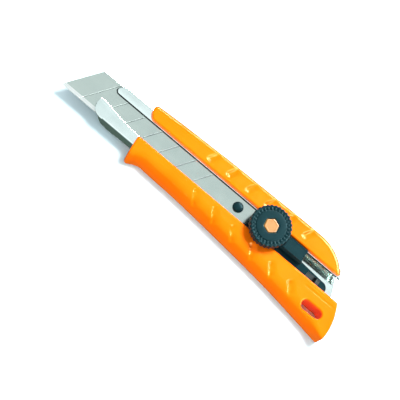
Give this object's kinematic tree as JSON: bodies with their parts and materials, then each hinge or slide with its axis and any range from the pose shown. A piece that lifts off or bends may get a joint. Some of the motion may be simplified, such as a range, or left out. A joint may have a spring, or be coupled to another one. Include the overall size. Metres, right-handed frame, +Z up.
{
  "type": "utility knife",
  "caption": "Hand cutter with a snap-off blade in a steel sheath, a contoured plastic handle and a slider clamped by a serrated thumb wheel.",
  "frame": {"origin": "middle of the whole object's box, on the flat back of the handle", "axes": "+X along the channel towards the blade's point, +Y towards the cutting-edge side, +Z up from the back towards the thumb wheel"},
  "size_m": [0.162, 0.0384, 0.0193],
  "materials": {
    "handle_plastic": "glossy moulded plastic",
    "sheath_steel": "polished stainless steel",
    "blade_steel": "ground and polished tool steel",
    "slider_plastic": "satin black moulded plastic",
    "wheel_plastic": "satin black moulded plastic",
    "cap_plastic": "pale orange moulded plastic",
    "spring_steel": "spring steel",
    "plain_steel": "zinc-plated steel",
    "nut_brass": "turned brass"
  },
  "bodies": {
    "handle": {"handle_body": "handle_plastic", "blade_sheath": "sheath_steel"},
    "slider": {"slider_body": "slider_plastic", "blade_carrier": "slider_plastic", "carrier_rivets": "plain_steel", "tail_catch": "spring_steel", "thrust_washer": "plain_steel", "click_spring": "spring_steel", "snap_off_blade": "blade_steel"},
    "wheel": {"lock_wheel": "wheel_plastic", "nut_insert": "nut_brass", "hex_cap": "cap_plastic"},
    "clamp": {"clamp_bolt": "plain_steel", "clamp_plate": "plain_steel"}
  },
  "joints": [
    {"name": "slider_slide", "type": "slide", "parent": "handle", "child": "slider", "axis": [1, 0, 0], "range_m": [-0.021, 0.055]},
    {"name": "clamp_travel", "type": "slide", "parent": "slider", "child": "clamp", "axis": [0, 0, -1], "range_m": [0, 0.000525]},
    {"name": "wheel_turn", "type": "hinge", "parent": "slider", "child": "wheel", "pos_m": [-0.0313, -0.004, 0.0169], "axis": [0, 0, 1], "range_deg": [0, 270], "deforming": ["click_spring"]}
  ],
  "couplings": [
    {"joint": "wheel_turn", "follows": "clamp_travel", "rad_per_m": 8976}
  ]
}
